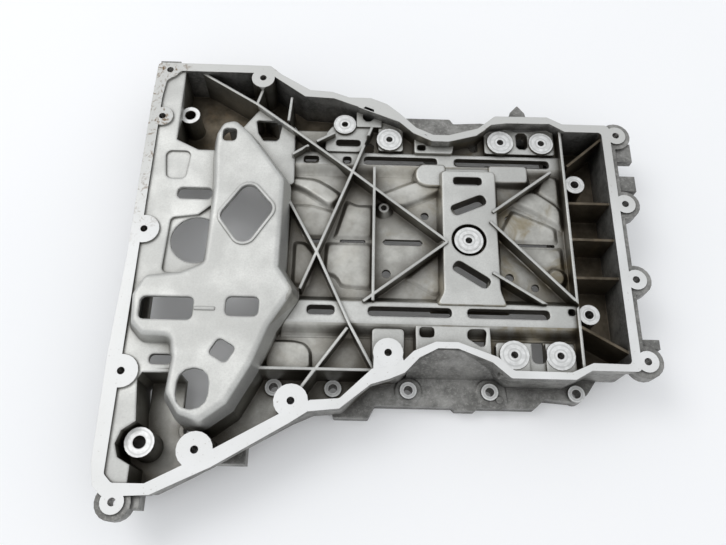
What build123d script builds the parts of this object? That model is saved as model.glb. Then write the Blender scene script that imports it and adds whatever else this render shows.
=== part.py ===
from build123d import *
import math
import os

# Upper oil pan: one die casting with a block rim on top, a windage deck
# across the middle and a sump flange underneath.
# X runs from the gearbox end to the front, Y across, Z up, millimetres.
# The outlines below count X from the gearbox face of the rim and Y from the
# crankshaft line. At the end the casting is moved so that its origin is the
# centre of the sump bolt pattern, on the machined sump face.

# heights
pan_height = 58.0
rim_depth = 9.0
wall = 5.0
skirt_z = 12.0
flange_height = 14.0
floor_sheet = 5.0
deck_sheet = 4.0
rib_sheet = 2.6
shelf_drop = 2.5
shelf_sheet = 5.0
hole_recess_drop = 5.0
hump_rise = 12.0
hump_sheet = 4.0
hump_draft = 17.0
hump_edge = 5.0
plateau_drop = 12.0
deck_drop = 20.0
plate_drop = 14.0
ledge_drop = 12.0
boss_drop = 9.0
hub_drop = 8.0
panel_drop = 10.0
rib_drop = 5.0
tall_post_drop = 12.0
sump_post_drop = 17.0
flange_boss_rise = 3.0

rim_z = pan_height
shelf_z = rim_z - shelf_drop
hump_z = rim_z + hump_rise
plateau_z = rim_z - plateau_drop
deck_z = rim_z - deck_drop
plate_z = rim_z - plate_drop
ledge_z = rim_z - ledge_drop
boss_z = rim_z - boss_drop
hub_z = rim_z - hub_drop
panel_z = rim_z - panel_drop
rib_z = rim_z - rib_drop
floor_z = flange_height
floor_under_z = floor_z - floor_sheet
bite = 0.6
cast_flats = 20
fine_corner_r = 3.5
sharp_turn = 35

# fasteners
rim_hole_r = 3.4
block_hole_r = 3.3
sump_hole_r = 4.2
post_hole_r = 5.6

# block rim, outside, clockwise from the far gearbox corner
rim_outside = [
    (4, 195), (122, 194.5), (134, 184), (165, 165), (188, 163.5),
    (206, 157), (228, 157), (245, 150), (258, 139), (275, 122),
    (292, 114), (308, 114), (338, 123), (356, 138.5), (410, 139),
    (425, 131), (473, 131), (473, -128.5), (428, -128.5), (413, -137),
    (356, -137), (340, -123), (310, -111), (292, -111), (275, -120),
    (262, -134), (248, -140), (232, -145), (205, -167), (178, -170),
    (163, -180), (100, -218), (52, -241), (14, -243), (5, -235),
    (1, -215), (0, -120), (3, -30), (3, 150),
]
# block rim, inside
rim_inside = [
    (29, 185), (121, 185), (160, 157), (190, 155.5), (215, 146),
    (258, 129), (272, 116), (291, 107), (308, 107), (336, 115),
    (352, 128), (368, 130.5), (412, 131), (427, 122), (464.5, 122),
    (464.5, -122), (430, -121.5), (410, -130.5), (359, -130), (345, -118),
    (310, -105), (290, -105), (270, -114), (256, -128), (233, -131),
    (205, -158), (180, -160), (160, -169), (76, -217), (47, -232),
    (20, -232), (13, -225), (13, 150), (15, 172),
]
# rim bolts: x, y, boss radius, radius of the raw lug around the boss
inward_bosses = [
    (17, 186, 10), (16, 128, 11), (15, 0, 14.5), (14, -138, 15),
    (85, -204, 15.5), (163, -161, 15), (247, -116, 13.5), (115, 179, 12),
]
outward_bosses = [
    (23, -247), (479, -119), (479, -40), (479, 40), (479, 119),
]
outward_boss_r = 10.0
lug_r = 15.0
lug_top_drop = 2.0
lug_depth = 14.0
front_wall_x = 470.0
front_edge_depth = 7.5
front_lug_length = 16.5
front_edge_x = front_wall_x + front_edge_depth
front_x = front_edge_x + front_lug_length
front_edge_half = 120.0
front_lug_drop = 5.0
front_lug_depth = 8.0
front_floor_start = 418.0
front_floor_half = 124.0
wall_bite = 3.0

# machined block bosses inside the rim: x, y, radius
block_bosses = [
    (202, 130, 11.5), (248, 113, 13), (362, 113, 13.5), (404, 113, 12.5),
    (362, -113, 13.5), (404, -113, 13.5),
]

# sump bolts in the lower flange: the near row, the far row, the front row
sump_row_x = [143, 198, 268, 344, 425]
sump_row_y = 140.0
sump_boss_r = 8.0
front_posts = [(437, 70), (437, -70)]
front_post_r = 10.0
tall_posts = [(41, 138, 10), (35, -197, 13)]
small_post = (70, -182, 9)
small_post_rise = 6.0


def turn_at(points, index):
    # how many degrees the outline turns at one of its corners
    before, here, after = [
        Vector(*points[(index + step) % len(points)]) for step in (-1, 0, 1)]
    return (here - before).get_angle(after - here)


def outline(points, radius, least_turn=sharp_turn):
    # closed outline through the corners, its sharper corners rounded
    face = make_face(Polyline(*points, close=True))
    turning = [Vector(*point) for index, point in enumerate(points)
               if turn_at(points, index) > least_turn]
    corners = [vertex for vertex in face.vertices()
               if any((Vector(*vertex) - point).length < bite
                      for point in turning)]
    if radius == 0:
        return face
    return fillet(corners, radius)


def slab(face, bottom, top):
    return extrude(Pos(0, 0, bottom) * face, amount=top - bottom,
                   dir=(0, 0, 1))


def drum(x, y, radius, bottom, top):
    return Pos(x, y, bottom) * Cylinder(
        radius, top - bottom, align=(Align.CENTER, Align.CENTER, Align.MIN))


def cast_drum(x, y, radius, bottom, top):
    # raw cast boss, its round side made of flats to keep the facets few
    face = Pos(x, y, 0) * RegularPolygon(radius, cast_flats)
    return slab(face, bottom, top)


def block(x0, x1, y0, y1, bottom, top):
    return Pos(x0, y0, bottom) * Box(
        x1 - x0, y1 - y0, top - bottom,
        align=(Align.MIN, Align.MIN, Align.MIN))


def window(x, y, length, width, radius, turn=0):
    # through window; each corner is a few flats on its radius
    steps = 1 if radius < fine_corner_r else 3
    points = []
    for quarter, (side_x, side_y) in enumerate(
            [(1, 1), (-1, 1), (-1, -1), (1, -1)]):
        for step in range(steps + 1):
            angle = math.radians(90 * (quarter + step / steps))
            points.append((
                side_x * (length / 2 - radius) + radius * math.cos(angle),
                side_y * (width / 2 - radius) + radius * math.sin(angle)))
    face = Pos(x, y, 0) * Rot(0, 0, turn) * make_face(
        Polyline(*points, close=True))
    return slab(face, -1, hump_z + 1)


def rib(points, bottom, top, sheet=rib_sheet):
    # thin upright web that follows straight runs between the points
    web = trace(Polyline(*points), line_width=sheet)
    return slab(web, bottom, top)


# rim and side wall
inside = outline(rim_inside, 4)
outside = outline(rim_outside, 5)
wall_outside = offset(inside, amount=wall)
inner_space = slab(inside, -1, hump_z + 1)
wall_space = slab(offset(inside, amount=wall / 2), -1, hump_z + 1)

rim = slab(outside, rim_z - rim_depth, rim_z)
boss_space = rim + slab(wall_outside, -1, rim_z)

# raw lugs that carry the outer rim bolts, and the raw edge between them
lug_top = rim_z - lug_top_drop
lugs = []
for x, y in outward_bosses:
    lugs.append(cast_drum(x, y, lug_r, lug_top - lug_depth, lug_top))
    lugs.append(cast_drum(x, y, outward_boss_r, lug_top - lug_depth, rim_z))
lugs.append(block(front_wall_x, front_edge_x, -front_edge_half, front_edge_half,
                  lug_top - lug_depth, lug_top))
for near_y, far_y in ((91, 112), (57, 74), (-106, -97)):
    lugs.append(block(front_edge_x - bite, front_x, near_y, far_y,
                      rim_z - front_lug_drop - front_lug_depth,
                      rim_z - front_lug_drop))
lugs.append(block(5, 26, 188, 200, rim_z - 16, rim_z - 4))
lugs.append(block(28, 44, -252, -238, rim_z - 22, rim_z - 5))
lugs.append(block(98, 125, -212, -194, rim_z - 40, rim_z - 24))
spur = outline([(371, 136), (392, 136), (389, 149), (382, 158), (374, 149)], 1)
lugs.append(slab(spur, rim_z - 16, rim_z - 8))
rim += [slab(wall_outside, skirt_z, rim_z)] + lugs
rim -= inner_space

# sump flange
flange_outside = outline([
    (132, -154), (196, -154), (199, -166), (231, -166), (237, -154),
    (309, -154), (312, -157), (330, -157), (333, -154), (386, -154),
    (396, -145), (424, -147), (436, -140), (450, -120), (450, 120),
    (436, 144), (396, 147), (386, 156), (350, 160), (320, 158),
    (316, 164), (268, 164), (262, 156), (132, 156),
], 2)
flange_inside = outline([
    (150, -126), (415, -126), (415, 126), (150, 126)], 12)
flange = slab(flange_outside, 0, flange_height)
flange -= slab(flange_inside, -1, flange_height + 1)

# the wall leans outward at the waist to reach the flange
lean = Polyline((-112, rim_z - 3), (-105, rim_z - 3), (-124, 8),
                (-131, 8), close=True)
lean_face = Plane.YZ * make_face(lean)
saddle = Pos(266, 0, 0) * extrude(lean_face, amount=84, dir=(1, 0, 0))
saddles = [saddle - inner_space,
           mirror(saddle, about=Plane.XZ) - inner_space]

# gearbox end lip under the rim
lip = block(5, 19, -225, 186, skirt_z, skirt_z + 9)

# shelf along the gearbox end, and the hump
shelf_sketch = outline([
    (6, 190), (31, 190), (31, 101), (56, 89), (78, 89),
    (78, -40), (62, -50), (62, -134), (31, -136), (27, -144),
    (31, -180), (20, -188), (16, -200), (20, -212), (31, -218),
    (31, -238), (6, -238),
], 3)
shelf = slab(shelf_sketch, shelf_z - shelf_sheet, shelf_z) & wall_space
hump_top = [
    (77, 102), (82, 114), (93, 117), (109, 102), (145, 52),
    (145, -40), (160, -62), (140, -96), (127, -132), (109, -166),
    (88, -182), (70, -176), (58, -158), (60, -128), (56, -108),
    (30, -107), (20, -96), (18, -70), (26, -52), (58, -48),
    (78, -38), (79, -4), (80, 42), (77, 80),
]
hump_height = hump_rise + shelf_drop + shelf_sheet
hump_face = outline(hump_top, 7)
hump = extrude(Pos(0, 0, hump_z) * hump_face, amount=hump_height,
               dir=(0, 0, -1), taper=-hump_draft)
hump = fillet(hump.faces().sort_by(Axis.Z)[-1].edges(), hump_edge)
hump_foot = Sketch() + hump.faces().sort_by(Axis.Z)[0]
hump_core = extrude(
    Pos(0, 0, hump_z - hump_sheet) * offset(hump_face, amount=-hump_sheet),
    amount=hump_height, dir=(0, 0, -1), taper=-hump_draft)

# walls of the hump that stand below the shelf, towards deck and pockets
foot_z = shelf_z - shelf_sheet
foot_outline = Pos(0, 0, -foot_z) * hump_foot
foot_wall = slab(foot_outline, floor_under_z, foot_z + bite)
foot_wall -= slab(offset(foot_outline, amount=-hump_sheet), -1, hump_z)
right_of_shelf = outline([
    (84, 125), (170, 125), (170, -200), (62, -200), (62, -134),
    (110, -150), (128, -110), (140, -60), (138, 40), (84, 100)], 0)
foot_wall &= slab(right_of_shelf, -1, hump_z)

# second plateau beside the hump
plateau_sketch = outline([
    (94, 120), (112, 146), (120, 148), (151, 124), (153, 60), (140, 56)], 4)
plateau = slab(plateau_sketch, floor_under_z, plateau_z)
plateau -= slab(offset(plateau_sketch, amount=-deck_sheet), -1,
                plateau_z - deck_sheet)

# windage deck
deck_sketch = outline([
    (150, 128), (236, 128), (262, 140), (350, 140), (424.3, 140),
    (424.3, -140), (236, -140), (232, -130), (118, -130), (130, -100),
    (150, -60)], 0)
deck_sketch -= offset(foot_outline, amount=-hump_sheet / 2)
deck = slab(deck_sketch, deck_z - deck_sheet, deck_z) & wall_space
plate_sketch = outline([(300, 83), (354, 83), (350, -66), (298, -66)], 3)
deck += slab(plate_sketch, deck_z - bite, plate_z)
far_ledge = outline([(346, 101), (418, 101), (418, 134), (346, 134)], 3)
near_ledge = mirror(far_ledge, about=Plane.XZ)
side_ledge = outline([(237, 101), (262, 101), (262, 140), (237, 140)], 3)
for ledge in (far_ledge, near_ledge, side_ledge):
    deck += slab(ledge, deck_z - deck_sheet, ledge_z) & wall_space
panel = outline([(214, 128), (240, 128), (240, 146), (214, 152)], 0)
deck += slab(panel, deck_z - deck_sheet, panel_z) & wall_space

# pocket floors: front, near side, far side, gearbox end
front_floor = block(front_floor_start, front_wall_x - wall_bite,
                    -front_floor_half, front_floor_half,
                    floor_under_z, floor_z)
near_floor = outline([
    (60, -260), (60, -186), (95, -178), (118, -130), (262, -130),
    (262, -140), (220, -180)], 0)
far_floor = outline([
    (31, 190), (31, 100), (78, 88), (92, 112), (150, 120), (262, 120),
    (262, 150), (150, 190)], 0)
corner_floor = outline([
    (16, -238), (16, -186), (31, -180), (31, -137), (62, -137),
    (62, -238)], 0)
floors = slab(near_floor, floor_under_z, floor_z)
floors += slab(far_floor, floor_under_z, floor_z)
floors += slab(corner_floor, floor_under_z, floor_z)
floors += front_floor
floors &= wall_space

# upright walls that close the pockets
walls = []
walls.append(rib([(423, 126), (423, -126)], floor_under_z, rib_z))
walls.append(rib([(118, -131), (236, -131)], floor_under_z, rib_z))
walls.append(rib([(150, 121), (262, 121)], floor_under_z, deck_z))
walls.append(rib([(32, 188), (32, 101), (56, 89), (80, 89)],
                 floor_under_z, shelf_z))
walls.append(rib([(62, -136), (31, -137), (27, -144), (31, -180), (20, -188),
                  (16, -200), (20, -212), (31, -218), (31, -236)],
                 floor_under_z, shelf_z))
for y in (42, 2.5, -37.5):
    walls.append(rib([(423, y), (466, y)], floor_under_z, rib_z))
walls.append(rib([(427, 84), (467, 119)], floor_under_z, rib_z))
walls.append(rib([(424, -86), (467, -111)], floor_under_z, rib_z))

# stiffening ribs on the deck
deck_ribs = [
    [(50, 187), (111, 149), (149, 120), (208, 74), (304, -3)],
    [(150, 37), (179, -17), (212, -89), (234, -130)],
    [(230, 125), (211, 71), (179, -17), (165, -55)],
    [(233, 78), (233, -65)],
    [(304, -3), (224, -66)],
    [(346, 20), (423, -62)],
    [(349, 30), (410, 77)],
    [(346, -34), (398, -68)],
    [(210, -92), (170, -149)],
    [(174, 106), (192, 117)],
    [(150, 90), (166, 101)],
]
for line in deck_ribs:
    walls.append(rib(line, deck_z - deck_sheet, rib_z))
tall_ribs = [
    [(50, 187), (111, 149), (149, 120)],
    [(115, 167), (110, 148)],
    [(146, 159), (144, 130)],
    [(170, -149), (182, -131)],
]
for line in tall_ribs:
    walls.append(rib(line, floor_under_z, rib_z))

# bosses and posts
posts = []
for x, y, radius in inward_bosses:
    posts.append(cast_drum(x, y, radius, skirt_z, rim_z) & boss_space)
for x, y, radius in block_bosses:
    posts.append(cast_drum(x, y, radius, deck_z - deck_sheet, boss_z))
for x in sump_row_x:
    for y in (-sump_row_y, sump_row_y):
        posts.append(cast_drum(x, y, sump_boss_r, 0,
                               flange_height + flange_boss_rise))
for x, y in front_posts:
    posts.append(cast_drum(x, y, front_post_r, 0, rim_z - sump_post_drop))
for x, y, radius in tall_posts:
    posts.append(cast_drum(x, y, radius, floor_under_z,
                           rim_z - tall_post_drop))
hub = drum(325, 0, 14, deck_z - deck_sheet, hub_z)
posts.append(hub)
posts.append(Pos(243, 36, deck_z - bite) * Cone(
    10, 5, 7, align=(Align.CENTER, Align.CENTER, Align.MIN)))
diamond = outline([(112, 50), (139, 19), (112, -25), (86, 10)], 10)
posts.append(slab(offset(diamond, amount=2.5), hump_z - 1, hump_z + 1.2))
posts.append(cast_drum(small_post[0], small_post[1], small_post[2],
                       floor_under_z, floor_z + small_post_rise))

# join the casting
body = rim + [flange, lip, shelf, hump, foot_wall, plateau, deck, floors]
body += saddles + walls + posts
cuts = [hump_core]

# hole cut by the crank seal, with its shallow recess
recess = outline([
    (38, 14), (64, 18), (82, 34), (82, -34), (60, -44), (36, -43)], 5)
cuts.append(slab(recess, rim_z - hole_recess_drop, shelf_z + 1))
cuts.append(drum(64, -8, 24, -1, shelf_z + 6))

# windows in the hump and the shelf
cuts.append(slab(diamond, -1, hump_z + 3))
cuts.append(window(89, 100, 14, 15, 4))
cuts.append(window(49, -83, 48, 22, 5))
cuts.append(window(116, -80, 30, 19, 5))
cuts.append(window(102, -121, 19, 17, 4, -30))
cuts.append(window(80, -155, 28, 36, 13))
cuts.append(window(58, 41, 34, 13, 5))
cuts.append(window(46, -126, 20, 9.5, 4))
pillow = outline([(24, 89), (50, 89), (47, 57), (28, 57)], 6)
cuts.append(slab(pillow, shelf_z - 2, shelf_z + 1))
notch = outline([(110, 134), (128, 134), (137, 128), (135, 112),
                 (132, 109), (119, 109), (113, 118)], 2)
cuts.append(slab(notch, -1, plateau_z + 1))

# windows and slots of the deck: x, y, length, width, corner radius
deck_windows = [
    (260, 94.5, 76, 9.5, 4), (365, 95, 98, 10, 4), (185, -70, 27, 10, 4),
    (267, -70, 80, 10, 4), (361, -70, 79, 11, 4), (177, 1.5, 12, 5, 2),
    (213, 1.5, 25, 6, 2.5), (262, 1.5, 39, 6, 2.5), (392, 1.5, 39, 6, 2.5),
    (326, 68, 28, 9, 4), (206, 111, 27, 7, 3), (282, 110, 9, 8, 2),
    (227, 108, 11, 13, 3), (385, 117, 12, 20, 3), (385, -107, 13, 26, 5),
    (284, -92, 14, 10, 3), (330, -95, 17, 17, 4), (168, 95, 15, 8, 3),
    (205, 94, 9, 8, 3), (168, 31, 9, 6.5, 3), (415, 70, 8, 11, 3),
    (420, -65, 8, 8, 3), (226, 141, 11, 12, 3),
]
for x, y, length, width, corner in deck_windows:
    cuts.append(window(x, y, length, width, corner))
far_slant = outline([(309, 41), (313, 44), (340, 55), (346, 45), (316, 29)], 2)
near_slant = outline([(309, -23), (314, -17), (344, -33), (341, -49),
                      (311, -31)], 2)
for slant in (far_slant, near_slant):
    cuts.append(slab(slant, -1, plate_z + 1))
corner_window = outline([(324, 121), (340, 121), (340, 108), (334, 107)], 2)
cuts.append(slab(corner_window, -1, deck_z + 1))

# round recess about the central hub
hub_recess = drum(325, 0, 17, deck_z, plate_z + 1) - hub
cuts.append(hub_recess)

# round holes of the deck: x, y, radius
deck_holes = [
    (284, 31, 4), (164, -31, 4.5), (246, -32, 4.2), (286, -30, 4.6),
    (368, 30, 4), (394, 53, 3.5), (365, -33, 4), (389, -43, 3.7),
]
for x, y, radius in deck_holes:
    cuts.append(cast_drum(x, y, radius, -1, deck_z + 1))
cuts.append(cast_drum(243, 36, 3, -1, deck_z + 8))

# bolt holes
rim_bolts = [boss[:2] for boss in inward_bosses] + outward_bosses
for x, y in rim_bolts:
    cuts.append(drum(x, y, rim_hole_r, -1, rim_z + 1))
for x, y, radius in block_bosses:
    cuts.append(drum(x, y, block_hole_r, -1, boss_z + 1))
cuts.append(drum(325, 0, block_hole_r, -1, hub_z + 1))
for x in sump_row_x:
    for y in (-sump_row_y, sump_row_y):
        cuts.append(drum(x, y, sump_hole_r, -1, flange_height + 8))
for x, y in front_posts:
    cuts.append(drum(x, y, sump_hole_r, -1, rim_z))
for x, y, radius in tall_posts:
    cuts.append(drum(x, y, post_hole_r, -1, rim_z))
cuts.append(drum(small_post[0], small_post[1], sump_hole_r, -1,
                 floor_z + small_post_rise + 1))

body -= cuts

origin_x = (sump_row_x[0] + sump_row_x[-1]) / 2
body = Pos(-origin_x, 0, 0) * body

os.makedirs("parts", exist_ok=True)
export_step(body, "parts/oil_pan.step")
print(len(body.solids()), body.volume, body.bounding_box())
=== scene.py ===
import math

import bmesh
import bpy
from mathutils import Matrix, Vector
from mathutils.geometry import tessellate_polygon


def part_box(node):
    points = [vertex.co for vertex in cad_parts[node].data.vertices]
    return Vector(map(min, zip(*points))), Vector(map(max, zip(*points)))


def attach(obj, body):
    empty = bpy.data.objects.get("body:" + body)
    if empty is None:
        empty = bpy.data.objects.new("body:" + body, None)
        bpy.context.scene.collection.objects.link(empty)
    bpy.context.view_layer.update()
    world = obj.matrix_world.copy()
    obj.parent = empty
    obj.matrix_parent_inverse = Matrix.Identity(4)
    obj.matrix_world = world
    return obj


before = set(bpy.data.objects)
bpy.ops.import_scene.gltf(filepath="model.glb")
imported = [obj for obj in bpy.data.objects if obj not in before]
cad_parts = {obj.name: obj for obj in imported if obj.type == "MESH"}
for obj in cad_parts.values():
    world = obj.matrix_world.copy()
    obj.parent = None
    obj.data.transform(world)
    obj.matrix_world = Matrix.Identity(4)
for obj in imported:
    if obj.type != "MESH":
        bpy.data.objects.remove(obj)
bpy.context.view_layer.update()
scene = bpy.context.scene
scene.view_settings.view_transform = "Standard"

MM = 0.001
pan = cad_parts["oil_pan"]
cad_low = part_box("oil_pan")[0]
GEARBOX_FACE_X = round(cad_low.x / MM)
SUMP_FACE_Z = round(cad_low.z / MM)

# levels of the casting, in millimetres above the sump face
RIM_Z = 58.0
COVER_Z = RIM_Z + 12
PLATE_Z = RIM_Z - 7
HUB_Z = RIM_Z - 8
BOSS_Z = RIM_Z - 9
NEAR_RAIL_Z = RIM_Z - 9
PANEL_Z = RIM_Z - 10.5
LEDGE_Z = RIM_Z - 12
TALL_POST_Z = RIM_Z - 12
FAR_RAIL_Z = RIM_Z - 14
FRONT_POST_Z = RIM_Z - 17
DECK_Z = RIM_Z - 20
SUMP_BOSS_Z = 17.0
FLANGE_Z = 14.0

# turned faces: x, y, radius and level, in millimetres in the row frame
BLOCK_PADS = [
    (-82, 130, 11.5, BOSS_Z), (-36, 113, 13, BOSS_Z), (78, 113, 13.5, BOSS_Z),
    (120, 113, 12.5, BOSS_Z), (78, -113, 13.5, BOSS_Z), (120, -113, 13.5, BOSS_Z),
]
HUB_X = 41
HUB_FACE = (HUB_X, 0, 14, HUB_Z)
TALL_POSTS = [(-243, 138, 10, TALL_POST_Z), (-249, -197, 13, TALL_POST_Z)]
FRONT_POSTS = [(153, 70, 10, FRONT_POST_Z), (153, -70, 10, FRONT_POST_Z)]
SUMP_BOLT_X = (-141, -86, -16, 60, 141)
SUMP_BOLT_Y = (-140, 140)
SUMP_BOSSES = [(x, y, 8, SUMP_BOSS_Z) for x in SUMP_BOLT_X for y in SUMP_BOLT_Y]
TURNED = BLOCK_PADS + [HUB_FACE] + TALL_POSTS + FRONT_POSTS + SUMP_BOSSES

# bolt holes, in the same units: the tall posts' wide bores aren't among them
RIM_BOLTS = [
    (-267, 186), (-268, 128), (-269, 0), (-270, -138), (-199, -204),
    (-121, -161), (-37, -116), (-169, 179), (-261, -247), (195, -119),
    (195, -40), (195, 40), (195, 119),
]
RIM_HOLE_RADIUS = 3.4
PAD_HOLE_RADIUS = 3.3
SUMP_HOLE_RADIUS = 4.2
HOLES = [(x, y, RIM_HOLE_RADIUS) for x, y in RIM_BOLTS]
HOLES += [(x, y, PAD_HOLE_RADIUS) for x, y, _, _ in BLOCK_PADS + [HUB_FACE]]
HOLES += [(x, y, SUMP_HOLE_RADIUS) for x, y, _, _ in FRONT_POSTS + SUMP_BOSSES]

# plan of the rim's inner edge in millimetres, only as fine as the finishes need
INNER_PLAN = [
    (-270, 185), (-163, 184), (-124, 156), (-69, 145), (-26, 128), (7, 106),
    (24, 106), (68, 127), (128, 130), (143, 121), (180, 121), (180, -121),
    (146, -121), (126, -130), (75, -129), (26, -104), (6, -104), (-28, -127),
    (-79, -157), (-124, -168), (-237, -231), (-264, -231), (-271, -224),
]

# where one finish gives way to the next, in millimetres
COVER_END_X = -130.0
FRONT_WALL_X = 140.0
PIT_Z = 24.0
LEVEL_SLACK = 0.1
FACE_SLACK = 0.6
BORE_SLACK = 0.4

# limits between the ways a facet faces, as the upward part of its normal
LEVEL_FACING = 0.99
TOP_FACING = 0.9
WALL_FACING = 0.1
UNDER_FACING = -0.3

# pitches of the tool marks, in millimetres
TURNING_PITCH = 1.1
TURNING_BAND_PITCH = 4.6
DRILL_MARK_PITCH = 1.2

# the photograph's camera, in metres and unit vectors of the row frame
CAMERA_PLACE = Vector((-0.06976, -0.29205, 0.65769))
CAMERA_RIGHT = Vector((0.9996, 0.0175, 0.0225))
CAMERA_FORWARD = Vector((0.0140, 0.3878, -0.9216))
FRAME_WIDTH_PX = 726
FOCAL_PX = 700
SENSOR_MM = 36.0

# light and floor, in metres and watts
WINDOW_PLACE = Vector((-1.9, 1.1, 3.0))
WINDOW_SIDE = 1.8
WINDOW_WATTS = 30
ROOM_STRENGTH = 0.88
FLOOR_REACH = 4.0
FLOOR_SHOWN_WHITE = 0.08


def colour(red, green, blue):
    return (red, green, blue, 1.0)


class Shader:
    """A material under construction, with short calls for its nodes."""

    def __init__(self, name):
        self.material = bpy.data.materials.new(name)
        self.material.use_nodes = True
        self.tree = self.material.node_tree
        self.nodes = self.tree.nodes
        self.surface = self.nodes["Principled BSDF"]
        self.place = self.nodes.new("ShaderNodeTexCoord").outputs["Object"]

    def link(self, value, socket):
        """Connect another node's output, or set a constant."""
        if isinstance(value, bpy.types.NodeSocket):
            self.tree.links.new(value, socket)
        else:
            socket.default_value = value

    def calc(self, kind, first, second=0.0, clamp=False):
        """The result of one arithmetic step."""
        node = self.nodes.new("ShaderNodeMath")
        node.operation = kind
        node.use_clamp = clamp
        self.link(first, node.inputs[0])
        self.link(second, node.inputs[1])
        return node.outputs[0]

    def waves(self, distance, pitch_mm):
        """A sine wave along a distance in metres."""
        phase = self.calc("MULTIPLY", distance, 2 * math.pi / (pitch_mm * MM))
        return self.calc("SINE", phase)

    def noise(self, size_mm, detail=4.0, rough=0.6, stretch=(1, 1, 1), twist=0.0):
        """Cloudy noise whose patches are about as large as the size."""
        place = self.nodes.new("ShaderNodeMapping")
        self.link(self.place, place.inputs["Vector"])
        place.inputs["Scale"].default_value = [s / (size_mm * MM) for s in stretch]
        node = self.nodes.new("ShaderNodeTexNoise")
        self.link(place.outputs[0], node.inputs["Vector"])
        node.inputs["Scale"].default_value = 1.0
        node.inputs["Detail"].default_value = detail
        node.inputs["Roughness"].default_value = rough
        node.inputs["Distortion"].default_value = twist
        return node.outputs["Fac"]

    def ramp(self, value, low, high, bottom=0.0, top=1.0):
        """A soft step: bottom where the value is low, top where it is high."""
        node = self.nodes.new("ShaderNodeMapRange")
        node.interpolation_type = "SMOOTHSTEP"
        self.link(value, node.inputs["Value"])
        node.inputs["From Min"].default_value = low
        node.inputs["From Max"].default_value = high
        node.inputs["To Min"].default_value = bottom
        node.inputs["To Max"].default_value = top
        return node.outputs[0]

    def mix(self, share, first, second):
        """A colour between two others: the node's colour sockets are 6, 7 and 2."""
        node = self.nodes.new("ShaderNodeMix")
        node.data_type = "RGBA"
        self.link(share, node.inputs["Factor"])
        self.link(first, node.inputs[6])
        self.link(second, node.inputs[7])
        return node.outputs[2]

    def overlay(self, base, paint, mask, strength):
        """The base with paint laid over it where the mask is 1."""
        return self.mix(self.calc("MULTIPLY", mask, strength, True), base, paint)

    def axis(self, name):
        node = self.nodes.new("ShaderNodeSeparateXYZ")
        self.link(self.place, node.inputs[0])
        return node.outputs[name]

    def painted_shade_mask(self, reach_mm, low=0.35, high=0.95):
        """A mask for painted shade: 1 in corners and deep pockets and 0 on open faces."""
        node = self.nodes.new("ShaderNodeAmbientOcclusion")
        node.samples = 8
        node.inputs["Distance"].default_value = reach_mm * MM
        return self.ramp(node.outputs["AO"], low, high, 1.0, 0.0)

    def bevel(self, radius_mm):
        node = self.nodes.new("ShaderNodeBevel")
        node.samples = 6
        node.inputs["Radius"].default_value = radius_mm * MM
        return node.outputs[0]

    def bump(self, height, depth_mm, under=None, strength=1.0):
        node = self.nodes.new("ShaderNodeBump")
        node.inputs["Distance"].default_value = depth_mm * MM
        node.inputs["Strength"].default_value = strength
        self.link(height, node.inputs["Height"])
        if under is not None:
            self.link(under, node.inputs["Normal"])
        return node.outputs[0]

    def finish(self, base, rough, normal, metallic):
        self.link(base, self.surface.inputs["Base Color"])
        self.link(rough, self.surface.inputs["Roughness"])
        self.link(normal, self.surface.inputs["Normal"])
        self.surface.inputs["Metallic"].default_value = metallic
        return self.material


def cast_skin(shader, edge_mm=1.4, grain_mm=0.05, lumps_mm=0.12):
    """Normal of a die casting after sand blasting: soft edges, slight lumps, fine grain."""
    edges = shader.bevel(edge_mm)
    lumps = shader.bump(shader.noise(9.0, 3.0), lumps_mm, edges, 0.6)
    return shader.bump(shader.noise(0.9, 3.0, 0.7), grain_mm, lumps, 0.9)


def blasted_and_painted_highlight():
    """Clean pale casting of the raised cover and the shelf; on the tops of the higher forms it
    is a painted highlight.
    """
    shader = Shader("blasted_casting_and_painted_highlight")
    cloud = shader.ramp(shader.noise(60.0, 4.0), 0.35, 0.7)
    base = shader.mix(cloud, colour(0.52, 0.52, 0.50), colour(0.66, 0.66, 0.635))
    speck = shader.ramp(shader.noise(1.6, 2.0, 0.8), 0.3, 0.75)
    base = shader.overlay(base, colour(0.40, 0.395, 0.38), speck, 0.35)
    # painted shade: the pale casting darkens in corners and pockets
    base = shader.overlay(base, colour(0.085, 0.078, 0.062), shader.painted_shade_mask(20.0), 0.85)
    rough = shader.ramp(cloud, 0.0, 1.0, 0.52, 0.44)
    return shader.finish(base, rough, cast_skin(shader, 3.0), 0.8)


def oiled_deck(name="oiled_casting", dark=colour(0.36, 0.352, 0.325),
               light=colour(0.60, 0.592, 0.555)):
    """Casting under an oil film, with brown stains that grow towards the front."""
    shader = Shader(name)
    cloud = shader.ramp(shader.noise(38.0, 5.0, 0.65), 0.35, 0.7)
    base = shader.mix(cloud, dark, light)
    toward_front = shader.ramp(shader.axis("X"), -0.10, 0.14, 0.15, 1.0)
    patches = shader.ramp(shader.noise(46.0, 4.0, 0.6, twist=1.2), 0.44, 0.66)
    stain = shader.calc("MULTIPLY", patches, toward_front, True)
    base = shader.overlay(base, colour(0.25, 0.20, 0.11), stain, 0.8)
    # painted shade: the deck darkens in corners and beside the ribs and forms
    painted_shade = shader.painted_shade_mask(22.0, 0.35, 1.0)
    base = shader.overlay(base, colour(0.045, 0.036, 0.024), painted_shade, 0.9)
    rough = shader.ramp(stain, 0.0, 1.0, 0.42, 0.30)
    return shader.finish(base, rough, cast_skin(shader, 1.8), 0.8)


def oiled_flank_in_painted_shade():
    """The same film on the sides of ribs and walls, in darker colours that paint the shade on
    these sides.
    """
    return oiled_deck("oiled_rib_side_in_painted_shade", colour(0.17, 0.165, 0.145), colour(0.31, 0.30, 0.27))


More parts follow.
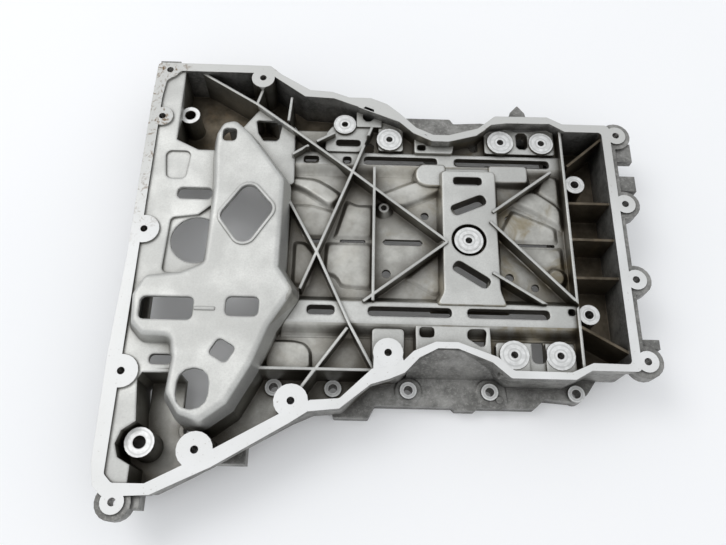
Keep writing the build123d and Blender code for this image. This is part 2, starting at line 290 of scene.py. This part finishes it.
def varnished_pocket():
    """Brown varnish of burnt oil in the deep pockets, with streaks down the walls."""
    shader = Shader("varnished_casting")
    cloud = shader.ramp(shader.noise(30.0, 5.0, 0.65), 0.3, 0.75)
    base = shader.mix(cloud, colour(0.060, 0.048, 0.032), colour(0.20, 0.168, 0.125))
    streak = shader.ramp(shader.noise(14.0, 4.0, 0.6, (1, 1, 0.15)), 0.5, 0.75)
    base = shader.overlay(base, colour(0.17, 0.12, 0.07), streak, 0.5)
    # painted shade: the varnish darkens further in corners
    painted_shade = shader.painted_shade_mask(30.0, 0.1, 0.8)
    base = shader.overlay(base, colour(0.018, 0.014, 0.010), painted_shade, 0.6)
    rough = shader.ramp(cloud, 0.0, 1.0, 0.34, 0.46)
    return shader.finish(base, rough, cast_skin(shader), 0.75)


def weathered_outside():
    """Dull, speckled casting outside the rim."""
    shader = Shader("weathered_casting")
    cloud = shader.ramp(shader.noise(22.0, 5.0, 0.7), 0.35, 0.7)
    base = shader.mix(cloud, colour(0.15, 0.148, 0.14), colour(0.33, 0.325, 0.31))
    speck = shader.ramp(shader.noise(3.0, 3.0, 0.8), 0.45, 0.7)
    base = shader.overlay(base, colour(0.44, 0.43, 0.41), speck, 0.5)
    # painted shade: the outside casting darkens in corners
    base = shader.overlay(base, colour(0.03, 0.028, 0.025), shader.painted_shade_mask(14.0), 0.8)
    return shader.finish(base, 0.5, cast_skin(shader, 1.4, 0.07, 0.2), 0.75)


def milled_rim():
    """Milled faces: painted shade towards the far side, gasket remains at the far gearbox end.
    """
    shader = Shader("milled_face")
    wash = shader.ramp(shader.noise(50.0, 3.0), 0.3, 0.7)
    base = shader.mix(wash, colour(0.74, 0.74, 0.73), colour(0.83, 0.83, 0.825))
    gearbox_end = shader.ramp(shader.axis("X"), -0.235, -0.262)
    far_side = shader.ramp(shader.axis("Y"), -0.05, 0.12)
    # painted shade: the milled rim grows darker towards the far side
    base = shader.overlay(base, colour(0.56, 0.56, 0.54), far_side, 0.75)
    blotch = shader.ramp(shader.noise(7.0, 5.0, 0.75, twist=0.8), 0.52, 0.66)
    far_corner = shader.calc("MULTIPLY", gearbox_end, far_side)
    base = shader.overlay(base, colour(0.20, 0.13, 0.07), blotch, far_corner)
    crumbs = shader.ramp(shader.noise(2.6, 4.0, 0.8), 0.63, 0.70)
    base = shader.overlay(base, colour(0.30, 0.26, 0.20), crumbs, 0.55)
    marks = shader.noise(0.8, 2.0, 0.5, (1, 0.06, 1))
    normal = shader.bump(marks, 0.012, shader.bevel(0.4))
    rough = shader.ramp(wash, 0.0, 1.0, 0.62, 0.70)
    return shader.finish(base, rough, normal, 0.9)


def nearest_turned(shader):
    """Distance to the nearest turned face's centre, in metres, as the shader sees it."""
    nearest = None
    for x, y, _, level in TURNED:
        node = shader.nodes.new("ShaderNodeVectorMath")
        node.operation = "DISTANCE"
        shader.link(shader.place, node.inputs[0])
        node.inputs[1].default_value = (x * MM, y * MM, level * MM)
        reach = node.outputs["Value"]
        nearest = reach if nearest is None else shader.calc("MINIMUM", nearest, reach)
    return nearest


def turned_boss():
    """Turned faces, with fine rings as bump and wider bands of grey."""
    shader = Shader("turned_face")
    reach = nearest_turned(shader)
    tone = shader.ramp(shader.noise(5.0, 2.0), 0.35, 0.65)
    base = shader.mix(tone, colour(0.68, 0.68, 0.67), colour(0.82, 0.82, 0.81))
    band = shader.ramp(shader.waves(reach, TURNING_BAND_PITCH), 0.2, 0.9, 0.0, 0.55)
    base = shader.mix(band, base, colour(0.50, 0.50, 0.49))
    rings = shader.waves(reach, TURNING_PITCH)
    normal = shader.bump(rings, 0.012, shader.bevel(0.3), 0.8)
    return shader.finish(base, 0.5, normal, 0.9)


def drilled_hole():
    """Walls of the bolt holes, with the marks that a drill leaves, and dark tones that paint
    the shade inside the holes.
    """
    shader = Shader("drilled_hole")
    marks = shader.waves(shader.axis("Z"), DRILL_MARK_PITCH)
    tone = shader.ramp(shader.noise(4.0, 3.0), 0.3, 0.7)
    # painted shade: the bore walls are much darker than the milled faces round them
    base = shader.mix(tone, colour(0.22, 0.21, 0.20), colour(0.42, 0.41, 0.39))
    normal = shader.bump(marks, 0.15, None, 0.7)
    return shader.finish(base, 0.35, normal, 0.9)


# each finish and its material, in the order of the material slots
FINISHES = {
    "blasted_and_painted_highlight": blasted_and_painted_highlight(), "deck": oiled_deck(), "flank": oiled_flank_in_painted_shade(),
    "pocket": varnished_pocket(), "outside": weathered_outside(), "milled": milled_rim(),
    "turned": turned_boss(), "hole": drilled_hole(),
}


def near_level(z, level):
    """Whether two heights are the same but for the mesh's rounding."""
    return abs(z - level) < LEVEL_SLACK


def on_turned_face(x, y, z):
    return any(near_level(z, level)
               and math.hypot(x - face_x, y - face_y) < radius + FACE_SLACK
               for face_x, face_y, radius, level in TURNED)


def in_bolt_hole(x, y):
    return any(math.hypot(x - hole_x, y - hole_y) < radius + BORE_SLACK
               for hole_x, hole_y, radius in HOLES)


def outside_rim(x, y):
    """Whether a place lies outside the rim's inner edge, by counting crossed sides."""
    inside = False
    previous_x, previous_y = INNER_PLAN[-1]
    for next_x, next_y in INNER_PLAN:
        if (next_y > y) != (previous_y > y):
            slant = (next_x - previous_x) / (next_y - previous_y)
            if x < previous_x + (y - previous_y) * slant:
                inside = not inside
        previous_x, previous_y = next_x, next_y
    return not inside


def zone_of(centre, normal):
    """Which finish a facet of the casting has, by its place and the way it faces: the lighter
    tops of the deck's higher forms are a painted highlight, and its darker upright sides are
    painted shade.
    """
    x, y, z = (value / MM for value in centre)
    wall = abs(normal.z) < WALL_FACING
    if normal.z > LEVEL_FACING:
        if near_level(z, RIM_Z):
            return "milled"
        if on_turned_face(x, y, z):
            return "turned"
    if wall and in_bolt_hole(x, y):
        return "hole"
    if normal.z < UNDER_FACING:
        return "milled" if near_level(z, SUMP_FACE_Z) else "blasted_and_painted_highlight"
    if outside_rim(x, y):
        return "outside"
    if x < COVER_END_X and z > FAR_RAIL_Z:
        return "blasted_and_painted_highlight"
    if x > FRONT_WALL_X or (z < PIT_Z and y > 0):
        return "pocket"
    # painted highlight: the tops of the deck's higher forms get the pale material
    if normal.z > TOP_FACING and z > FAR_RAIL_Z - LEVEL_SLACK:
        return "blasted_and_painted_highlight"
    # painted shade: upright faces take the darker copy of the deck's material
    return "flank" if wall else "deck"


def dress(piece, finish=None):
    """Give each facet of a piece one finish, or else the finish of its place."""
    for material in FINISHES.values():
        piece.data.materials.append(material)
    numbers = {zone: number for number, zone in enumerate(FINISHES)}
    for facet in piece.data.polygons:
        facet.material_index = numbers[finish or zone_of(facet.center, facet.normal)]


def dress_pan():
    """Give the CAD solid its finishes."""
    pan.data.materials.clear()
    dress(pan)


# how the relief pieces are made, with lengths in millimetres: SEAT is how deep they sink
SLOPE_STEPS = 7
CORNER_STEPS = 5
CIRCLE_FLATS = 48
SOFT_CORNER = 4.0
CORNER_SHARE = 0.45
SEAT = 1.5
WALL_SPREAD = 0.1


def with_neighbours(points):
    """Each point of a closed outline, with the one before it and the one after."""
    for index, point in enumerate(points):
        after = points[(index + 1) % len(points)]
        yield Vector(points[index - 1]), Vector(point), Vector(after)


def rounded(points, radius):
    """A closed outline with its corners rounded, as far as its runs allow."""
    line = []
    for before, here, after in with_neighbours(points):
        back = before - here
        on = after - here
        start = here + back.normalized() * min(radius, CORNER_SHARE * back.length)
        end = here + on.normalized() * min(radius, CORNER_SHARE * on.length)
        for step in range(CORNER_STEPS):
            share = step / (CORNER_STEPS - 1)
            line.append(start.lerp(here, share).lerp(here.lerp(end, share), share))
    return line


def grown(points, amount):
    """A closed counterclockwise outline moved outward along its corners' bisectors."""
    moved = []
    for before, here, after in with_neighbours(points):
        first = (here - before).normalized()
        second = (after - here).normalized()
        out = Vector((first.y + second.y, -first.x - second.x))
        moved.append(tuple(here + out * amount / (1 + first.dot(second))))
    return moved


def opening(x, y, length, width, radius, turn=0.0):
    """Outline of a rounded opening, turned about its centre by degrees."""
    corners = [(-length / 2, -width / 2), (length / 2, -width / 2),
               (length / 2, width / 2), (-length / 2, width / 2)]
    swing = Matrix.Rotation(math.radians(turn), 2)
    return [swing @ corner + Vector((x, y)) for corner in rounded(corners, radius)]


def circle(x, y, radius):
    """Outline of a round opening or boss."""
    angles = [2 * math.pi * flat / CIRCLE_FLATS for flat in range(CIRCLE_FLATS)]
    return [Vector((x + radius * math.cos(angle), y + radius * math.sin(angle)))
            for angle in angles]


def add_piece(name, points, faces, finish):
    """Put a mesh into the scene as a piece of the pan."""
    mesh = bpy.data.meshes.new(name)
    mesh.from_pydata(points, [], faces)
    shape = bmesh.new()
    shape.from_mesh(mesh)
    bmesh.ops.recalc_face_normals(shape, faces=shape.faces)
    shape.to_mesh(mesh)
    shape.free()
    piece = bpy.data.objects.new(name, mesh)
    scene.collection.objects.link(piece)
    dress(piece, finish)
    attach(piece, "root")


def cast_form(name, foot, top, level, holes=(), base=DECK_Z, corner=SOFT_CORNER, finish=None):
    """A raised form of the casting: its side runs from foot to top in a soft curve.

    Outlines are in millimetres, with X counted from the gearbox face. The form sinks a
    little into the face at the base level, and its holes go straight through.
    """
    foot, top = rounded(foot, corner), rounded(top, corner)
    points, faces = [], []

    def ring(line, z):
        """Add an outline's points at one level and return their numbers."""
        first = len(points)
        points.extend(((x + GEARBOX_FACE_X) * MM, y * MM, z * MM) for x, y in line)
        return list(range(first, len(points)))

    def band(lower, upper):
        """Join two rings of points with a strip of faces."""
        for index in range(len(lower)):
            faces.append((lower[index - 1], lower[index], upper[index], upper[index - 1]))

    def cap(rings):
        """Fill the first ring with flat faces, leaving the other rings open."""
        numbers = [number for line in rings for number in line]
        loops = [[Vector(points[number]) for number in line] for line in rings]
        for triangle in tessellate_polygon(loops):
            faces.append(tuple(numbers[place] for place in triangle))

    outer = [ring(foot, base - SEAT)]
    for step in range(SLOPE_STEPS + 1):
        share = step / SLOPE_STEPS
        rise = share * share * (3 - 2 * share)
        line = [low.lerp(high, share) for low, high in zip(foot, top)]
        outer.append(ring(line, base + (level - base) * rise))
        band(outer[-2], outer[-1])
    lower, upper = [outer[0]], [outer[-1]]
    for hole in holes:
        lower.append(ring(hole, base - SEAT))
        upper.append(ring(hole, level))
        band(lower[-1], upper[-1])
    cap(lower)
    cap(upper)
    add_piece(name, points, faces, finish)


def mound(name, top, level, spread, **form):
    """A raised form whose foot is its top outline, spread on all sides.

    It also takes the holes, base, corner and finish of cast_form.
    """
    cast_form(name, grown(top, spread), top, level, **form)


def make_rails():
    """The slotted rails along the far and the near side of the deck."""
    cast_form("far_rail", [(146, 74), (423, 74), (423, 100), (146, 100)],
              [(146, 85), (423, 85), (423, 99), (146, 99)], FAR_RAIL_Z, corner=1,
              holes=[opening(259.7, 90.3, 75, 9.5, 4.5), opening(363, 90.3, 97.7, 9.5, 4.5),
                     opening(168.8, 90, 15.7, 8.7, 3.5), opening(205.3, 90, 9, 8.6, 3.5)])
    cast_form("near_rail", [(424, -57), (148, -57), (148, -98), (424, -98)],
              [(424, -66), (150, -66), (150, -84), (424, -84)], NEAR_RAIL_Z, corner=1,
              holes=[opening(185, -74, 26, 9.5, 4.5), opening(267.4, -74.3, 78, 9.5, 4.5),
                     opening(359, -74.3, 77, 9.5, 4.5), opening(418, -71, 7, 7, 3)])


PLATE_HUB_X = HUB_X - GEARBOX_FACE_X
HUB_HOLE_RADIUS = 6.5
HUB_RING_RADIUS = 11
HUB_RING_RISE = 0.8
HUB_OPENING_RADIUS = 17
SHOULDER_RISE = 1.6


def make_plate():
    """The plate round the hub, the hub's turned ring and the shoulders beside the plate."""
    mound("hub_plate", [(294, -66), (357, -66), (352, -52), (353, 76), (301, 76), (300, -54)],
          PLATE_Z, spread=5,
          holes=[opening(326, 65, 29, 9.5, 4.5), opening(326, 38, 37, 12.5, 6, turn=24),
                 opening(326, -36, 39, 12.5, 6, turn=-33),
                 circle(PLATE_HUB_X, 0, HUB_OPENING_RADIUS)])
    mound("hub_ring", circle(PLATE_HUB_X, 0, HUB_RING_RADIUS), HUB_Z + HUB_RING_RISE,
          spread=0.5, holes=[circle(PLATE_HUB_X, 0, HUB_HOLE_RADIUS)], base=HUB_Z,
          corner=0.5, finish="turned")
    mound("plate_shoulder_left", [(276, 71), (279, 66), (286, 63), (304, 63), (304, 86),
                                  (281, 86), (276, 79)],
          FAR_RAIL_Z + SHOULDER_RISE, spread=5)
    mound("plate_shoulder_right", [(350, 69), (387, 69), (387, 86), (350, 86)],
          FAR_RAIL_Z + SHOULDER_RISE, spread=5)


NEAR_SHOULDER_RISE = 4


def make_ledges():
    """Ledges and panels between the rails and the side walls."""
    mound("slot_ledge", [(183, 99), (219, 99), (229, 125), (229, 130), (190, 130), (183, 120)],
          LEDGE_Z, spread=1.2, holes=[opening(206, 109.3, 25.5, 8, 4)])
    mound("near_side_ledge", [(233, -130), (262, -126), (262, -90), (233, -90)],
          LEDGE_Z, spread=1.2)
    mound("far_panel", [(274, 99), (312, 99), (314, 109.5), (308, 109), (291, 109), (274, 117)],
          PANEL_Z, spread=1.5, corner=2, holes=[opening(281, 105, 9, 7, 3)])
    near_panel_hole = rounded([(320, -98), (332, -106), (336, -105), (338, -92), (336, -89),
                               (323, -89), (320, -92)], 2)
    mound("near_panel", [(273, -114.5), (290, -107), (310, -107), (341, -118), (341, -80),
                         (273, -80)],
          PANEL_Z, spread=2, corner=2, holes=[opening(283, -93, 14, 10, 4), near_panel_hole])
    mound("near_shoulder", [(138, -127), (176, -127), (175, -112), (170, -106), (160, -104),
                            (138, -104)],
          DECK_Z + NEAR_SHOULDER_RISE, spread=3.5)


# the far wall and the rim's land stop just under the milled rim, so no two faces coincide
WALL_TOP_Z = RIM_Z - 0.02
RIM_LAND_BASE_Z = 50
WALL_LAND_TOP_Z = 52
WAIST_LAND_TOP_Z = 50
WAIST_PAD_BASE_Z = 40
WALL_FOOT_DROP = 3


def make_walls():
    """Plain stretches of the far wall, where windows of the deck cut into it."""
    mound("rim_land", [(219.5, 144.4), (233, 139.1), (233, 148), (219.5, 149.5)],
          WALL_TOP_Z, spread=WALL_SPREAD, base=RIM_LAND_BASE_Z, corner=0.5)
    mound("wall_land", [(219.5, 144.4), (233, 139.1), (233, 144.1), (219.5, 149.3)],
          WALL_LAND_TOP_Z, spread=WALL_SPREAD, base=FLANGE_Z, corner=0.5)
    mound("waist_land", [(322, 111.2), (336, 115.2), (343, 121), (343, 126), (334, 119.8),
                         (322, 116.4)],
          WAIST_LAND_TOP_Z, spread=WALL_SPREAD, base=FLANGE_Z, corner=0.5)
    mound("far_wall", [(215, 145.4), (258, 128.4), (272, 115.4), (291, 106.4), (308, 106.4),
                       (336, 114.4), (346, 122.5), (346, 125.5), (335, 117.8), (308, 110),
                       (291, 110), (274, 118.5), (260, 131.5), (216, 149)],
          WALL_TOP_Z, spread=WALL_SPREAD, base=DECK_Z - WALL_FOOT_DROP, corner=1)


NEAR_PAD_HALF_WIDTH = 13.5
NEAR_PAD_WALL_Y = -132
NEAR_PAD_DECK_Y = -117
NEAR_PAD_DROP = 0.5


def make_near_pads():
    """The pads that join the near bolt bosses to the side wall."""
    near_bosses = [boss_x for boss_x, boss_y, _, _ in BLOCK_PADS if boss_y < 0]
    for boss_x in near_bosses:
        x = boss_x - GEARBOX_FACE_X
        left = x - NEAR_PAD_HALF_WIDTH
        right = x + NEAR_PAD_HALF_WIDTH
        mound(f"near_pad_{x}", [(left, NEAR_PAD_WALL_Y), (right, NEAR_PAD_WALL_Y),
                                (right, NEAR_PAD_DECK_Y), (left, NEAR_PAD_DECK_Y)],
              BOSS_Z - NEAR_PAD_DROP, spread=0.5, corner=1)


FLANGE_BOLT_Y = min(SUMP_BOLT_Y)
FLANGE_RING_X = [x - GEARBOX_FACE_X for x in SUMP_BOLT_X[2:4]]
FLANGE_RING_RADIUS = 11.5
FLANGE_SPOT_RADIUS = 7.6
FLANGE_RING_RISE = 1.0
FLANGE_PAD_RISE = 0.9
FLANGE_PEG_RISE = 2.4


def make_flange_pads():
    """Low forms round the near bolts of the sump flange, and the pad at the near waist."""
    for x in FLANGE_RING_X:
        mound(f"flange_ring_{x}", circle(x, FLANGE_BOLT_Y, FLANGE_RING_RADIUS),
              FLANGE_Z + FLANGE_RING_RISE, spread=2.0, base=FLANGE_Z, corner=0.4,
              holes=[circle(x, FLANGE_BOLT_Y, FLANGE_SPOT_RADIUS)])
    mound("flange_pad", [(334, -150), (352, -155), (360, -150), (358, -131), (352, -128),
                         (340, -128), (333, -133)],
          FLANGE_Z + FLANGE_PAD_RISE, spread=1.5, base=FLANGE_Z,
          holes=[circle(FLANGE_RING_X[-1], FLANGE_BOLT_Y, FLANGE_SPOT_RADIUS)])
    mound("flange_peg", circle(353, -147, 3.2), FLANGE_Z + FLANGE_PEG_RISE, spread=0.8,
          base=FLANGE_Z, corner=0.4)
    mound("waist_pad", [(234, -134), (262, -126.5), (259.8, -120), (234.2, -120)],
          WALL_TOP_Z, spread=WALL_SPREAD, base=WAIST_PAD_BASE_Z, corner=0.5)


CELL_BARS = [
    [(149, 63), (162, 59), (190, 40), (199, 49), (189, 57), (174, 66), (149, 68)],
    [(241, 51), (259, 40), (290, 55), (302, 61), (302, 73), (273, 66)],
    [(375, 49), (418, 24), (418, 41), (394, 59), (387, 58)],
    [(398, 60), (418, 47), (418, 76), (406, 76)],
    [(403, -37), (407, -41), (414, -40), (417, -33), (414, -27), (408, -26), (403, -30)],
]
CELL_BAR_RISE = 4.5
CELL_BAR_INSET = 1
LOW_FIELDS = [
    [(153, 38), (166, 6), (186, 6), (194, 31), (171, 38)],
    [(197, 6), (231, 6), (231, 39), (216, 39), (207, 43)],
    [(372, 37), (356, 6), (412, 6), (412, 19)],
    [(158, -3), (158, -45), (170, -45), (178, -17), (166, -3)],
    [(189, -3), (188, -33), (196, -34), (201, -39), (204, -45), (231, -47), (231, -3)],
    [(267, -36), (291, -51), (297, -51), (297, -11)],
    [(368, -3), (391, -27), (401, -27), (406, -22), (411, -21), (416, -23), (416, -3)],
]
LOW_FIELD_RISE = 1.6
LOW_FIELD_INSET = 1.5
COVER_BAR_RISE = 1.1


def make_bars():
    """Bars and low fields in the cells of the deck, and the short bar on the cover."""
    for number, line in enumerate(CELL_BARS, 1):
        mound(f"cell_bar_{number}", grown(line, -CELL_BAR_INSET), DECK_Z + CELL_BAR_RISE,
              spread=6, corner=6)
    for number, line in enumerate(LOW_FIELDS, 1):
        mound(f"low_field_{number}", grown(line, -LOW_FIELD_INSET), DECK_Z + LOW_FIELD_RISE,
              spread=4.5)
    mound("cover_bar", [(74, -84.3), (92, -84.3), (92, -81.7), (74, -81.7)],
          COVER_Z + COVER_BAR_RISE, spread=0.6, base=COVER_Z, corner=1)


def pale_floor():
    """A pale floor: a small share of its white is seen by the eye and reflections alone."""
    shader = Shader("pale_floor")
    cloud = shader.ramp(shader.noise(500.0, 2.0), 0.3, 0.7)
    base = shader.mix(cloud, colour(0.92, 0.925, 0.935), colour(0.94, 0.94, 0.95))
    shader.finish(base, 0.8, shader.bump(shader.noise(2.0, 2.0), 0.02), 0.0)
    path = shader.nodes.new("ShaderNodeLightPath")
    reflected = shader.calc("MAXIMUM", path.outputs["Is Glossy Ray"],
                            path.outputs["Is Transmission Ray"])
    seen = shader.calc("MAXIMUM", path.outputs["Is Camera Ray"], reflected)
    white = shader.nodes.new("ShaderNodeEmission")
    white.inputs["Color"].default_value = colour(1.0, 1.0, 1.0)
    white.inputs["Strength"].default_value = 1.0
    blend = shader.nodes.new("ShaderNodeMixShader")
    shader.link(shader.calc("MULTIPLY", seen, FLOOR_SHOWN_WHITE), blend.inputs[0])
    shader.link(shader.surface.outputs[0], blend.inputs[1])
    shader.link(white.outputs[0], blend.inputs[2])
    shader.link(blend.outputs[0], shader.nodes["Material Output"].inputs["Surface"])
    return shader.material


def make_floor():
    """A floor at the sump face, wide enough to fill the picture."""
    bpy.ops.mesh.primitive_plane_add(size=2 * FLOOR_REACH, location=(0, 0, cad_low.z))
    floor = bpy.context.object
    floor.name = "floor"
    floor.data.materials.append(pale_floor())


def make_window_light():
    """One broad lamp, high beyond the far gearbox corner, as a window would be."""
    data = bpy.data.lights.new("window", "AREA")
    data.shape = "RECTANGLE"
    data.size = WINDOW_SIDE
    data.size_y = WINDOW_SIDE
    data.energy = WINDOW_WATTS
    light = bpy.data.objects.new("window", data)
    light.location = WINDOW_PLACE
    light.rotation_mode = "QUATERNION"
    light.rotation_quaternion = (-WINDOW_PLACE).to_track_quat("-Z", "Y")
    scene.collection.objects.link(light)


def make_room_light():
    """Even, slightly cool light from all sides."""
    world = bpy.data.worlds.new("studio")
    scene.world = world
    world.use_nodes = True
    background = world.node_tree.nodes["Background"]
    background.inputs["Color"].default_value = colour(0.96, 0.98, 1.0)
    background.inputs["Strength"].default_value = ROOM_STRENGTH


def make_camera():
    """The photograph's camera."""
    data = bpy.data.cameras.new("camera")
    data.sensor_width = SENSOR_MM
    data.lens = SENSOR_MM * FOCAL_PX / FRAME_WIDTH_PX
    camera = bpy.data.objects.new("camera", data)
    back = -CAMERA_FORWARD.normalized()
    up = back.cross(CAMERA_RIGHT).normalized()
    right = up.cross(back)
    turn = Matrix((right, up, back)).transposed()
    camera.matrix_world = Matrix.Translation(CAMERA_PLACE) @ turn.to_4x4()
    scene.collection.objects.link(camera)
    scene.camera = camera


dress_pan()
make_rails()
make_plate()
make_ledges()
make_walls()
make_near_pads()
make_flange_pads()
make_bars()
make_floor()
make_window_light()
make_room_light()
make_camera()
